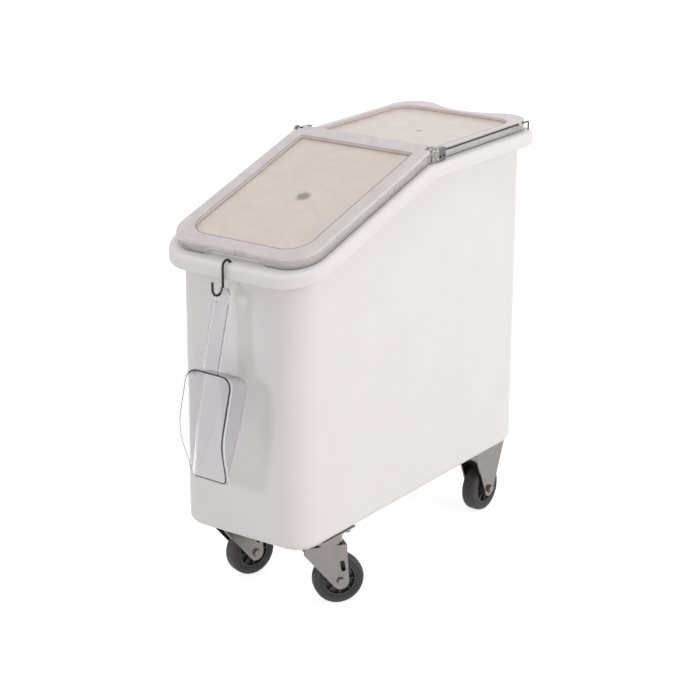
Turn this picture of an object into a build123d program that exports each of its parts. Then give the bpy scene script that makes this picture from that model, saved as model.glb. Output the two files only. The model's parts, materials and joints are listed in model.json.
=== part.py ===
from build123d import *
from math import atan2, cos, degrees, radians, sin, tan
import os

# Ingredient bin on four casters. X is the bin's width, with the right side at +X.
# The front faces -Y and +Z is up. The origin is on the floor, under the middle of the tub.

# Tub body, floor height and walls
tub_width = 256.0
tub_length = 670.0
tub_corner = 44.0
tub_wall = 5.0
foot_radius = 16.0
inner_foot_radius = 5.0
floor_height = 131.0

# Rolled rim and the shoulder that the lids rest on
rim_overhang = 25.5
rim_corner = 68.0
rim_height = 23.0
rim_wall = 4.5
rim_top_radius = 10.0
rim_lower_radius = 4.0
ridge_radius = 30.0

# Raised lip round the mouth
lip_back_inset = 21.0
lip_gap = 1.5

# Front lid, measured in its own sloping plane
lid_slope = 17.3
slope_sin = sin(radians(lid_slope))
slope_cos = cos(radians(lid_slope))
slope_tan = tan(radians(lid_slope))
ridge_y = 18.6
ridge_z = 742.0
lid_overlap = 11.0
lid_half_width = tub_width / 2 + lid_overlap
lid_front_overlap = 12.36
lid_length = (tub_length / 2 + lid_front_overlap + ridge_y) / slope_cos
lid_border = 27.0
lid_corner = 51.0
lid_wall = 3.0
lid_plate = 3.2
lid_skirt = 19.6
lid_gap = 0.3
lid_edge = 2.5
lid_recess_half = lid_half_width - lid_border
lid_recess_depth = 6.0
lid_recess_floor = 3.0
lid_recess_start = 31.0
lid_recess_end = lid_length - lid_border
lid_recess_radius = 40.0
notch_half_bottom = 62.0
notch_half_top = 50.0
notch_height = 8.5

# Rear lid
ridge_step = 9.6
rear_top = ridge_z - ridge_step
rear_overlap = 4.6
rear_half_width = tub_width / 2 + rear_overlap
rear_front = 8.0
rear_wall = 3.0
rear_skirt = 17.6
rear_corner = 43.0
lobe_overlap = 11.0
rear_lobe_y = tub_length / 2 + lobe_overlap
scallop_inset = 16.0
rear_scallop_y = tub_length / 2 - scallop_inset
rear_scallop_radius = 116.0
rear_side_border = 14.6
rear_recess_half = rear_half_width - rear_side_border
rear_recess_depth = 6.0
rear_recess_floor = 3.0
rear_border = 15.0
rear_recess_radius = 36.0
rear_edge = 1.0

# Guide rods beside the rear lid, with |x| of their run and of their front ends
rod_radius = 1.3
rod_gap = 0.3
rod_x = rear_half_width + rod_gap + rod_radius
rod_drop = 3.4
rod_z = rear_top - rod_drop
rod_front = 25.0
rod_end_depth = 3.4
rod_front_end = rear_half_width - rod_end_depth
rod_back_inset = 8.0
rod_back = tub_length / 2 - rod_back_inset
rod_bend = 3.0
rod_back_depth = 6.5
rod_fit = 0.05
rod_slot_gap = 0.35
eye_length = 8.0
eye_wall = 1.6
eye_gap = 3.0
eye_front = rear_lobe_y - rear_corner - eye_gap - eye_length

# Hinge of the front lid, from the ridge in the lid's plane
hinge_back = 3.6
hinge_drop = 2.9
pin_radius = 1.4
pin_fit = 0.05
boss_radius = 3.3
boss_inset = 6.1
boss_length = 12.5
boss_outer = rear_half_width - boss_inset
boss_inner = boss_outer - boss_length
corner_cut = 12.0

# Slider blocks and hinge knuckles, |x| across the bin
side_gap = 0.6
block_thickness = 6.0
strap_thickness = 2.4
side_inner = rear_half_width + side_gap
strap_inner = side_inner + block_thickness
knuckle_outer = strap_inner + strap_thickness
slider_front = 28.0
slider_length = 19.0
slider_height = 21.0
slider_gap = 0.3
knuckle_front = 6.0
knuckle_length = 16.0
knuckle_height = 25.8
hardware_lift = 1.5
strap_height = 21.0
screw_radius = 1.2
screw_head_radius = 2.0
screw_head = 1.0
screw_inset = 3.5
screw_spacing = 10.0
screw_height = 6.5
screw_rise = 1.0

# Hook for the scoop
hook_x = -3.5
hook_wire = 2.0
hook_top_radius = 10.0
hook_low_radius = 13.0
hook_stand_off = 31.0
hook_shank_y = -tub_length / 2 - hook_stand_off
hook_shank = 29.0
hook_rise = 0.63
hook_top_z = (ridge_z + (hook_shank_y - ridge_y) * slope_tan - (lid_skirt + lid_gap) / slope_cos + hook_rise)
hook_low_z = hook_top_z - hook_shank
hook_tip = 11.0
hook_leg = 17.0
hook_hole_gap = 1.0

# Scoop, measured down the handle from the wire that it hangs on
scoop_tilt = 1.2
scoop_lean = 14.2
scoop_shift = 6.0
scoop_side = hook_x + scoop_shift
scoop_stand_off = 11.25
scoop_front_y = hook_shank_y - scoop_stand_off
scoop_rest = 1.8
scoop_top_z = hook_low_z - hook_low_radius + hook_wire + scoop_rest
scoop_handle_top = 9.0
scoop_handle_half = 16.0
scoop_handle_corner = 11.0
scoop_web = 2.5
scoop_channel = 3.2
scoop_wall = 2.2
scoop_hole_width = 20.0
scoop_hole_height = 16.0
scoop_hole_corner = 3.5
scoop_bowl_top = 127.0
scoop_bowl_low = 306.5
scoop_bowl_half = 45.6
scoop_tip_half = 36.5
scoop_taper_start = 205.0
scoop_top_corner = 20.0
scoop_tip_corner = 10.0
scoop_cut_start = 184.5
scoop_cut_depth = 43.7
scoop_cut_ease = 1.6
scoop_depth = 50.0
scoop_draft = 3.0
scoop_back_radius = 7.0
scoop_side_radius = 60.0
scoop_rim_width = 2.5
scoop_rim_thickness = 2.5

# Wheels
wheel_radius = 43.5
tyre_width = 28.0
tyre_bore = 30.0
tyre_shoulder = 5.0
hub_width = 26.0
hub_boss_radius = 12.0
hub_boss_width = 34.0
hub_groove_inner = 14.0
hub_groove_outer = 25.0
hub_groove_depth = 8.0
sleeve_radius = 7.0
running_fit = 0.05
axle_radius = 4.0
axle_hex = 7.5
axle_head = 5.3
axle_nut_height = 6.8
axle_end = 2.0

# Forks and caster plates
fork_inside = 36.0
fork_sheet = 3.0
axle_boss_radius = 14.0
fork_slot_height = 28.0
fork_slot_forward = 3.0
fork_slot_length = 20.0
fork_slot_width = 8.0
fork_slot_lean = 10.0
fork_fold = 10.0
fork_fold_height = 1.0
plate_thickness = 3.0
swivel_side_inset = 37.0
swivel_x = tub_width / 2 - swivel_side_inset
swivel_front_inset = 111.5
swivel_y = swivel_front_inset - tub_length / 2
swivel_trail = 22.0
swivel_turn_right = 51.5
swivel_turn_left = 72.0
swivel_plate_width = 60.0
swivel_plate_length = 90.0
swivel_bolt_x = 20.0
swivel_bolt_y = 36.0
crown_back = 63.0
crown_front = 10.0
crown_drop = 21.0
crown_top = floor_height - crown_drop
gusset_height = 13.0
race_radius = 25.0
race_drop = 12.6
race_top = floor_height - race_drop
cup_radius = 29.0
cup_inner = 26.5
cup_drop = 17.0
cup_low = floor_height - cup_drop
ball_clearance = 0.1
ball_radius = 3.0
cup_race = race_top + 2 * ball_radius + ball_clearance
ball_ring = 20.0
ball_count = 14
kingpin_radius = 5.0
kingpin_head_radius = 9.0
kingpin_head = 5.7
kingpin_gap = 0.3
fixed_side_inset = 40.4
fixed_x = tub_width / 2 - fixed_side_inset
fixed_rear_inset = 64.0
fixed_y = tub_length / 2 - fixed_rear_inset
fixed_plate_length = 105.0
fixed_leg_half = 50.0
fixed_bolt_x = 11.5
fixed_bolt_y = 36.0

# Caster bolts through the tub's floor
bolt_radius = 3.0
bolt_gap = 0.2
bolt_head_radius = 6.0
bolt_head = 3.5
washer_radius = 6.2
washer_thickness = 1.6
nut_hex = 5.8
nut_height = 5.0
bolt_end = 2.0

os.makedirs("parts", exist_ok=True)

# The lid's plane: its origin is the middle of the ridge, local Y runs up the slope to the rear.
lid_plane = Plane(origin=(0, ridge_y, ridge_z), x_dir=(1, 0, 0), z_dir=(0, -slope_sin, slope_cos))


def on_lid(along, up):
    # World Y and Z of a point given in the front lid's plane
    y = ridge_y + along * slope_cos - up * slope_sin
    z = ridge_z + along * slope_sin + up * slope_cos
    return y, z


shoulder_drop = lid_skirt + lid_gap
shoulder_z = rear_top - rear_skirt - lid_gap
rear_under = rear_top - rear_wall
hinge_y, hinge_z = on_lid(-hinge_back, -hinge_drop)
tall = ridge_z + rim_height
reach = tub_length


def keep(piece, name):
    piece.part.label = name
    export_step(piece.part, "parts/" + name + ".step")


def below_line(drop, level, radius):
    # Everything under a side line that slopes like the front lid and then runs level to the rear
    bend = ridge_y + (level - ridge_z + drop / slope_cos) / slope_tan
    front_z = ridge_z + (-reach - ridge_y) * slope_tan - drop / slope_cos
    with BuildPart() as block:
        with BuildSketch(Plane.YZ):
            with BuildLine():
                Polyline((-reach, 0), (-reach, front_z), (bend, level), (reach, level), (reach, 0), close=True)
            make_face()
            fillet(vertices().sort_by_distance((bend, level))[0], radius)
        extrude(amount=tub_width, both=True)
    return block.part


def rim_edges(solid, middle_drop, upper):
    # The outline edges of the rim band, above or below the middle of its height
    found = []
    for edge in solid.edges():
        spot = edge @ 0.5
        outside = abs(spot.X) > 1.0 or abs(spot.Y) > tub_length / 2
        middle = min(ridge_z + (spot.Y - ridge_y) * slope_tan - (shoulder_drop + middle_drop) / slope_cos,
                     shoulder_z - middle_drop)
        flat = abs(edge.tangent_at(0.5).Z) < 0.9
        if outside and flat and (spot.Z > middle) == upper:
            found.append(edge)
    return found


shoulder = below_line(shoulder_drop, shoulder_z, ridge_radius)
under_shoulder = below_line(shoulder_drop + rim_wall, shoulder_z - rim_wall, ridge_radius - rim_wall)
under_rim = below_line(shoulder_drop + rim_height, shoulder_z - rim_height, ridge_radius - rim_height)
lip_line = below_line(lid_plate + lip_gap, rear_under - lip_gap, tub_wall)

# Rim: a band that follows the shoulder, hollow underneath
rim_width = tub_width + 2 * rim_overhang
rim_length = tub_length + 2 * rim_overhang
with BuildPart() as rim_band:
    with BuildSketch(Plane.XY.offset(floor_height)):
        RectangleRounded(rim_width, rim_length, rim_corner)
    extrude(amount=tall - floor_height)
    add(shoulder, mode=Mode.INTERSECT)
    add(under_rim, mode=Mode.SUBTRACT)
    fillet(rim_edges(rim_band.part, rim_height / 2, True), rim_top_radius)
    fillet(rim_edges(rim_band.part, rim_height / 2, False), rim_lower_radius)

with BuildPart() as rim_channel:
    with BuildSketch(Plane.XY.offset(floor_height)):
        RectangleRounded(rim_width - 2 * rim_wall, rim_length - 2 * rim_wall, rim_corner - rim_wall)
        RectangleRounded(tub_width, tub_length, tub_corner, mode=Mode.SUBTRACT)
    extrude(amount=tall - floor_height)
    add(under_shoulder, mode=Mode.INTERSECT)

lip_length = tub_length - lip_back_inset
lip_middle = -lip_back_inset / 2
with BuildPart() as lip:
    with BuildSketch(Plane.XY.offset(ridge_z / 2)):
        with Locations((0, lip_middle)):
            RectangleRounded(tub_width, lip_length, tub_corner)
    extrude(amount=ridge_z / 2)
    add(lip_line, mode=Mode.INTERSECT)
    add(under_shoulder, mode=Mode.SUBTRACT)

with BuildPart() as cavity:
    with BuildSketch(Plane.XY.offset(floor_height + tub_wall)):
        RectangleRounded(tub_width - 2 * tub_wall, tub_length - 2 * tub_wall, tub_corner - tub_wall)
    extrude(amount=tall - floor_height)
    fillet(edges().group_by(Axis.Z)[0], inner_foot_radius)
    add(under_shoulder, mode=Mode.INTERSECT)

with BuildPart() as mouth:
    with BuildSketch(Plane.XY.offset(ridge_z / 2)):
        with Locations((0, lip_middle)):
            RectangleRounded(tub_width - 2 * tub_wall, lip_length - 2 * tub_wall, tub_corner - tub_wall)
    extrude(amount=ridge_z)

# Caster bolt places: four round each caster
bolt_spots = []
for side in (-1, 1):
    for a in (-1, 1):
        for b in (-1, 1):
            bolt_spots.append((side * swivel_x + a * swivel_bolt_x, swivel_y + b * swivel_bolt_y))
            bolt_spots.append((side * fixed_x + a * fixed_bolt_x, fixed_y + b * fixed_bolt_y))

# The hook's leg stands square to the sloping shoulder, in front of the lid's skirt.
hook_leg_y = hook_shank_y + hook_top_radius * (1 + slope_cos)
hook_leg_z = hook_top_z + hook_top_radius * slope_sin
hook_low_y = hook_shank_y - hook_low_radius

with BuildPart() as tub:
    with BuildSketch(Plane.XY.offset(floor_height)):
        RectangleRounded(tub_width, tub_length, tub_corner)
    extrude(amount=tall - floor_height)
    fillet(edges().group_by(Axis.Z)[0], foot_radius)
    add(shoulder, mode=Mode.INTERSECT)
    add(rim_band.part)
    add(rim_channel.part, mode=Mode.SUBTRACT)
    add(lip.part)
    add(cavity.part, mode=Mode.SUBTRACT)
    add(mouth.part, mode=Mode.SUBTRACT)
    with Locations(*[(x, y, floor_height) for x, y in bolt_spots]):
        Cylinder(bolt_radius + bolt_gap, 3 * tub_wall, mode=Mode.SUBTRACT)
    for side in (-1, 1):
        with Locations((side * rod_x, rod_back, shoulder_z)):
            Cylinder(rod_radius + rod_slot_gap, 3 * rim_wall, mode=Mode.SUBTRACT)
    with Locations(Plane(origin=(hook_x, hook_leg_y, hook_leg_z), z_dir=(0, -slope_sin, slope_cos))):
        Cylinder(hook_wire + hook_hole_gap, 5 * rim_wall, mode=Mode.SUBTRACT)
keep(tub, "tub")

# Front lid: a sloping tray with a sunk panel, a skirt on three sides and hinge bosses at its rear corners


def lid_rim(solid):
    # The top edges round the front and the sides, without the ridge
    found = []
    for edge in solid.edges():
        spot = lid_plane.to_local_coords(edge @ 0.5)
        if abs(spot.Z) < 0.1 and spot.Y < -1.0:
            found.append(edge)
    return found


lid_bulge = lid_recess_depth + lid_recess_floor
recess_length = lid_recess_end - lid_recess_start
recess_middle = -(lid_recess_end + lid_recess_start) / 2
with BuildPart() as front_lid:
    with BuildSketch(lid_plane):
        with Locations((0, -lid_length / 2)):
            Rectangle(2 * lid_half_width, lid_length)
        fillet(vertices().group_by(Axis.Y)[0], lid_corner)
    extrude(amount=-lid_skirt)
    fillet(lid_rim(front_lid.part), lid_edge)
    with BuildSketch(lid_plane.offset(-lid_plate)):
        with Locations((0, -(lid_length - lid_wall) / 2 + lid_wall)):
            Rectangle(2 * (lid_half_width - lid_wall), lid_length + lid_wall)
        fillet(vertices().group_by(Axis.Y)[0], lid_corner - lid_wall)
    extrude(amount=-lid_skirt, mode=Mode.SUBTRACT)
    with BuildSketch(lid_plane.offset(-lid_plate / 2)):
        with Locations((0, recess_middle)):
            Rectangle(2 * (lid_recess_half + lid_wall), recess_length + 2 * lid_wall)
        fillet(vertices().group_by(Axis.Y)[0], lid_recess_radius + lid_wall)
        fillet(vertices().group_by(Axis.Y)[-1], 2 * lid_wall)
    extrude(amount=-(lid_bulge - lid_plate / 2))
    with BuildSketch(lid_plane):
        with Locations((0, recess_middle)):
            Rectangle(2 * lid_recess_half, recess_length)
        fillet(vertices().group_by(Axis.Y)[0], lid_recess_radius)
        fillet(vertices().group_by(Axis.Y)[-1], lid_wall)
    extrude(amount=-lid_recess_depth, mode=Mode.SUBTRACT)
    # Finger notch in the front skirt, seen from the front
    notch_y, notch_z = on_lid(-lid_length, -lid_skirt)
    with BuildSketch(Plane(origin=(0, notch_y, notch_z), x_dir=(1, 0, 0), z_dir=(0, -slope_cos, -slope_sin))):
        with BuildLine():
            Polyline((-notch_half_bottom, -lid_gap), (-notch_half_top, notch_height), (notch_half_top, notch_height),
                     (notch_half_bottom, -lid_gap), close=True)
        make_face()
        fillet(vertices().group_by(Axis.Y)[-1], notch_height)
    extrude(amount=2 * lid_wall, both=True, mode=Mode.SUBTRACT)
    # The rear corners give way to the hinge knuckles.
    for side in (-1, 1):
        corner_low = hinge_y - corner_cut
        with Locations((side * (boss_outer + lid_half_width / 2), corner_low + reach / 2, ridge_z)):
            Box(lid_half_width, reach, 4 * lid_skirt, mode=Mode.SUBTRACT)
        with Locations(Plane(origin=(side * boss_inner, hinge_y, hinge_z), z_dir=(side, 0, 0))):
            Cylinder(boss_radius, boss_outer - boss_inner, align=(Align.CENTER, Align.CENTER, Align.MIN))
            Cylinder(pin_radius + pin_fit, boss_outer - boss_inner, align=(Align.CENTER, Align.CENTER, Align.MIN),
                     mode=Mode.SUBTRACT)
keep(front_lid, "front_lid")

# Rear lid: its outline has two lobes and a scallop between them at the rear
lobe_x = rear_half_width - rear_corner
lobe_turn = 2 * degrees(atan2(rear_lobe_y - rear_scallop_y, lobe_x))
lobe_radius = lobe_x / sin(radians(lobe_turn)) - rear_scallop_radius


def rear_outline(inset, front):
    # Closed line of the rear lid's outline, moved inwards by inset, starting at front
    half = rear_half_width - inset
    corner = rear_corner - inset
    with BuildLine() as line:
        start = Line((0, front), (half, front))
        side = Line(start @ 1, (half, rear_lobe_y - rear_corner))
        turn = JernArc(side @ 1, (0, 1), corner, 90)
        lobe = JernArc(turn @ 1, (-1, 0), lobe_radius - inset, lobe_turn)
        JernArc(lobe @ 1, lobe % 1, rear_scallop_radius + inset, -lobe_turn)
        mirror(about=Plane.YZ)
    return line.line


with BuildPart() as rear_lid:
    with BuildSketch(Plane.XY.offset(rear_top)):
        add(rear_outline(0, rear_front))
        make_face()
    extrude(amount=-rear_skirt)
    fillet([edge for edge in edges().group_by(Axis.Z)[-1] if (edge @ 0.5).Y > rear_front + lid_gap], rear_edge)
    with BuildSketch(Plane.XY.offset(rear_under)):
        add(rear_outline(rear_wall, rear_front - rear_wall))
        make_face()
    extrude(amount=-rear_skirt, mode=Mode.SUBTRACT)
    with BuildSketch(Plane.XY.offset(rear_top - rear_wall / 2)):
        with BuildLine():
            Polyline((-rear_recess_half - rear_wall, rear_front), (rear_recess_half + rear_wall, rear_front),
                     (rear_recess_half + rear_wall, rear_scallop_y - rear_border + rear_wall),
                     (-rear_recess_half - rear_wall, rear_scallop_y - rear_border + rear_wall), close=True)
        make_face()
        fillet(vertices().group_by(Axis.Y)[-1], rear_recess_radius + rear_wall)
    extrude(amount=-(rear_recess_depth + rear_recess_floor - rear_wall / 2))
    with BuildSketch(Plane.XY.offset(rear_top)):
        with BuildLine():
            Polyline((-rear_recess_half, rear_front - rear_wall), (rear_recess_half, rear_front - rear_wall),
                     (rear_recess_half, rear_scallop_y - rear_border),
                     (-rear_recess_half, rear_scallop_y - rear_border), close=True)
        make_face()
        fillet(vertices().group_by(Axis.Y)[-1], rear_recess_radius)
    extrude(amount=-rear_recess_depth, mode=Mode.SUBTRACT)
    # An eye for each rod on the skirt near the rear, and a hole for the rod's turned-in front end
    eye_outer = rod_radius + eye_wall
    for side in (-1, 1):
        with Locations((side * rod_x, eye_front, rear_top - rear_edge)):
            Box(rod_x - rear_half_width + rear_wall / 2, eye_length, rear_top - rear_edge - rod_z + eye_outer,
                align=(Align.MAX if side > 0 else Align.MIN, Align.MIN, Align.MAX))
        with Locations(Plane(origin=(side * rod_x, eye_front, rod_z), z_dir=(0, 1, 0))):
            Cylinder(eye_outer, eye_length, align=(Align.CENTER, Align.CENTER, Align.MIN))
            Cylinder(rod_radius + rod_fit, eye_length, align=(Align.CENTER, Align.CENTER, Align.MIN),
                     mode=Mode.SUBTRACT)
        with Locations(Plane(origin=(side * (rod_front_end - rod_slot_gap), rod_front, rod_z), z_dir=(side, 0, 0))):
            Cylinder(rod_radius + rod_fit, 2 * rear_wall, align=(Align.CENTER, Align.CENTER, Align.MIN),
                     mode=Mode.SUBTRACT)
keep(rear_lid, "rear_lid")

# Guide rods: one wire on each side, turned in at the front and down at the rear
for side, hand in ((-1, "left"), (1, "right")):
    with BuildPart() as guide_rod:
        with BuildLine(Plane.XY.offset(rod_z)):
            FilletPolyline((side * rod_front_end, rod_front), (side * rod_x, rod_front),
                           (side * rod_x, (rod_front + rod_back) / 2), radius=rod_bend)
        with BuildSketch(Plane(origin=(side * rod_front_end, rod_front, rod_z), z_dir=(side, 0, 0))):
            Circle(rod_radius)
        sweep()
        with BuildLine(Plane.YZ.offset(side * rod_x)):
            FilletPolyline(((rod_front + rod_back) / 2, rod_z), (rod_back, rod_z),
                           (rod_back, shoulder_z - rod_back_depth), radius=rod_bend)
        with BuildSketch(Plane(origin=(side * rod_x, (rod_front + rod_back) / 2, rod_z), z_dir=(0, 1, 0))):
            Circle(rod_radius)
        sweep()
    keep(guide_rod, "guide_rod_" + hand)

# Slider blocks, knuckles, pins and screws on each side of the rear lid
hardware_low = shoulder_z + hardware_lift
slider_back = slider_front + slider_length
screw_y = slider_front + screw_inset
screw_z = hardware_low + screw_height
screw_spots = [(screw_y, screw_z), (screw_y + screw_spacing, screw_z + screw_rise)]
rod_channel = rod_radius + slider_gap
for side, hand in ((-1, "left"), (1, "right")):
    outward = Align.MIN if side > 0 else Align.MAX
    with BuildPart() as rod_slider:
        with Locations((side * side_inner, slider_front, hardware_low)):
            Box(strap_inner - side_inner, slider_length, slider_height, align=(outward, Align.MIN, Align.MIN))
        with Locations(Plane(origin=(side * rod_x, slider_front, rod_z), z_dir=(0, 1, 0))):
            Cylinder(rod_channel, slider_length, align=(Align.CENTER, Align.CENTER, Align.MIN), mode=Mode.SUBTRACT)
        for y, z in screw_spots:
            with Locations(Plane(origin=(side * side_inner, y, z), z_dir=(side, 0, 0))):
                Cylinder(screw_radius, strap_inner - side_inner, align=(Align.CENTER, Align.CENTER, Align.MIN),
                         mode=Mode.SUBTRACT)
    keep(rod_slider, "rod_slider_" + hand)

    with BuildPart() as knuckle:
        with BuildSketch(Plane.YZ.offset(side * side_inner)):
            with Locations((knuckle_front, hardware_low)):
                Rectangle(knuckle_length, knuckle_height, align=(Align.MIN, Align.MIN))
            fillet(vertices().group_by(Axis.Y)[-1], knuckle_length / 2 - side_gap)
        extrude(amount=side * (knuckle_outer - side_inner))
        with BuildSketch(Plane.YZ.offset(side * strap_inner)):
            with Locations((knuckle_front + knuckle_length / 2, hardware_low)):
                Rectangle(slider_back - knuckle_front - knuckle_length / 2, strap_height,
                          align=(Align.MIN, Align.MIN))
        extrude(amount=side * (knuckle_outer - strap_inner))
        # Groove, open to the inside, that lets the rod and its turned-in end pass
        with Locations((side * side_inner, knuckle_front, rod_z)):
            Box(rod_x + rod_channel - side_inner, knuckle_length, 2 * rod_channel,
                align=(outward, Align.MIN, Align.CENTER), mode=Mode.SUBTRACT)
        with Locations(Plane(origin=(side * side_inner, hinge_y, hinge_z), z_dir=(side, 0, 0))):
            Cylinder(pin_radius, knuckle_outer - side_inner, align=(Align.CENTER, Align.CENTER, Align.MIN),
                     mode=Mode.SUBTRACT)
        for y, z in screw_spots:
            with Locations(Plane(origin=(side * strap_inner, y, z), z_dir=(side, 0, 0))):
                Cylinder(screw_radius, knuckle_outer - strap_inner, align=(Align.CENTER, Align.CENTER, Align.MIN),
                         mode=Mode.SUBTRACT)
    keep(knuckle, "knuckle_" + hand)

    with BuildPart() as hinge_pin:
        with Locations(Plane(origin=(side * boss_inner, hinge_y, hinge_z), z_dir=(side, 0, 0))):
            Cylinder(pin_radius, knuckle_outer - boss_inner, align=(Align.CENTER, Align.CENTER, Align.MIN))
    keep(hinge_pin, "hinge_pin_" + hand)

with BuildPart() as slider_screws:
    for side in (-1, 1):
        for y, z in screw_spots:
            with Locations(Plane(origin=(side * side_inner, y, z), z_dir=(side, 0, 0))):
                Cylinder(screw_radius, knuckle_outer - side_inner, align=(Align.CENTER, Align.CENTER, Align.MIN))
            with Locations(Plane(origin=(side * knuckle_outer, y, z), z_dir=(side, 0, 0))):
                Cylinder(screw_head_radius, screw_head, align=(Align.CENTER, Align.CENTER, Align.MIN))
keep(slider_screws, "slider_screws")

# Hook: one wire, from the leg in the rim over the edge, down and up again to its free tip
leg_end = (hook_leg_y + hook_leg * slope_sin, hook_leg_z - hook_leg * slope_cos)
with BuildPart() as s_hook:
    with BuildLine(Plane.YZ.offset(hook_x)):
        leg = Line(leg_end, (hook_leg_y, hook_leg_z))
        over = TangentArc(leg @ 1, (hook_shank_y, hook_top_z), tangent=leg % 1)
        shank = Line(over @ 1, (hook_shank_y, hook_low_z))
        turn = TangentArc(shank @ 1, (hook_shank_y - 2 * hook_low_radius, hook_low_z), tangent=shank % 1)
        Line(turn @ 1, (hook_shank_y - 2 * hook_low_radius, hook_low_z + hook_tip))
    with BuildSketch(Plane(origin=(hook_x, leg_end[0], leg_end[1]), z_dir=(0, -slope_sin, slope_cos))):
        Circle(hook_wire)
    sweep()
keep(s_hook, "s_hook")

# Scoop: drawn in its mouth's plane, which tilts and leans as the scoop hangs. Local Y runs up the handle.
tilt_sin = sin(radians(scoop_tilt))
tilt_cos = cos(radians(scoop_tilt))
lean_sin = sin(radians(scoop_lean))
lean_cos = cos(radians(scoop_lean))
depth_way = (-tilt_sin * lean_sin, lean_cos, -tilt_cos * lean_sin)


def scoop_plane(depth, facing):
    # Plane at a depth behind the mouth that faces the front (-1) or the rear (1)
    return Plane(origin=(scoop_side + depth * depth_way[0], scoop_front_y + depth * depth_way[1],
                         scoop_top_z + depth * depth_way[2]),
                 x_dir=(-facing * tilt_cos, 0, facing * tilt_sin),
                 z_dir=(facing * depth_way[0], facing * depth_way[1], facing * depth_way[2]))


def bowl_outline(inset):
    with BuildLine() as line:
        Polyline((-scoop_bowl_half + inset, -scoop_bowl_top - inset), (scoop_bowl_half - inset, -scoop_bowl_top - inset),
                 (scoop_bowl_half - inset, -scoop_taper_start), (scoop_tip_half - inset, -scoop_bowl_low + inset),
                 (-scoop_tip_half + inset, -scoop_bowl_low + inset), (-scoop_bowl_half + inset, -scoop_taper_start),
                 close=True)
    return line.line


def handle_outline(inset, bottom):
    half = scoop_handle_half - inset
    with BuildLine() as line:
        Polyline((-half, scoop_handle_top - inset), (half, scoop_handle_top - inset), (half, bottom), (-half, bottom),
                 close=True)
    return line.line


def bowl_block(inset, depth, radius):
    # Tapered block with a rounded back, from the mouth towards the bin
    with BuildPart() as block:
        with BuildSketch(scoop_plane(0, 1)):
            add(bowl_outline(inset))
            make_face()
            fillet(vertices().group_by(Axis.Y)[1], scoop_side_radius)
            fillet(vertices().group_by(Axis.Y)[-1], scoop_top_corner - inset)
            fillet(vertices().group_by(Axis.Y)[0], scoop_tip_corner - inset)
        extrude(amount=depth, taper=scoop_draft)
        if radius:
            fillet(edges().group_by(Axis((0, 0, 0), depth_way))[-1], radius)
    return block.part


def mouth_cut(sunk):
    # Everything in front of the mouth's side line, which falls away towards the tip, sunk by an amount
    side_view = Plane(origin=(scoop_side, scoop_front_y, scoop_top_z),
                      x_dir=(tilt_sin * lean_cos, lean_sin, tilt_cos * lean_cos), z_dir=(-tilt_cos, 0, tilt_sin))
    fall = []
    for step in range(13):
        share = (step / 12) ** scoop_cut_ease
        fall.append((-scoop_cut_start - (scoop_bowl_low - scoop_cut_start) * step / 12,
                     sunk + scoop_cut_depth * (3 * share ** 2 - 2 * share ** 3)))
    low = -scoop_bowl_low - 4 * scoop_rim_width
    with BuildPart() as cut:
        with BuildSketch(side_view):
            with BuildLine():
                Spline(*fall, tangents=((-1, 0), (-1, 0)))
                Polyline(fall[-1], (low, fall[-1][1]), (low, -scoop_depth), (scoop_depth, -scoop_depth),
                         (scoop_depth, sunk), fall[0])
            make_face()
        extrude(amount=2 * scoop_bowl_half, both=True)
    return cut.part


with BuildPart() as scoop_rim:
    add(bowl_block(-scoop_rim_width, scoop_depth, 0))
    add(mouth_cut(scoop_rim_thickness), mode=Mode.INTERSECT)
    add(mouth_cut(0), mode=Mode.SUBTRACT)

with BuildPart() as scoop:
    add(bowl_block(0, scoop_depth, scoop_back_radius))
    add(mouth_cut(0), mode=Mode.SUBTRACT)
    add(scoop_rim.part)
    with BuildSketch(scoop_plane(0, 1)):
        add(handle_outline(0, -scoop_bowl_top - scoop_wall))
        make_face()
        fillet(vertices().group_by(Axis.Y)[-1], scoop_handle_corner)
    extrude(amount=scoop_channel + scoop_web)
    add(bowl_block(scoop_wall, scoop_depth - scoop_wall, scoop_back_radius - scoop_wall), mode=Mode.SUBTRACT)
    # The handle's channel is open to the rear, behind its web.
    with BuildSketch(scoop_plane(scoop_web, 1)):
        add(handle_outline(scoop_wall, -scoop_bowl_top + scoop_wall))
        make_face()
        fillet(vertices().group_by(Axis.Y)[-1], scoop_handle_corner - scoop_wall)
    extrude(amount=scoop_channel, mode=Mode.SUBTRACT)
    with BuildSketch(scoop_plane(0, 1)):
        with Locations((0, -scoop_hole_height / 2)):
            RectangleRounded(scoop_hole_width, scoop_hole_height, scoop_hole_corner)
    extrude(amount=2 * scoop_web, mode=Mode.SUBTRACT)
keep(scoop, "scoop")


def axle_plane(x, y, turn):
    # Plane at the wheel's centre: local X is the trail direction, local Y is up, the axle is the normal
    along = (sin(radians(90 - turn)), sin(radians(turn)))
    return Plane(origin=(x, y, wheel_radius), x_dir=(along[0], along[1], 0), z_dir=(along[1], -along[0], 0))


def ring(outer, inner, low, high, mode=Mode.ADD):
    # Ring about the working plane's normal, from low to high along it
    with Locations((0, 0, low)):
        Cylinder(outer, high - low, align=(Align.CENTER, Align.CENTER, Align.MIN), mode=mode)
        if inner:
            Cylinder(inner, high - low, align=(Align.CENTER, Align.CENTER, Align.MIN), mode=Mode.SUBTRACT)


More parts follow.
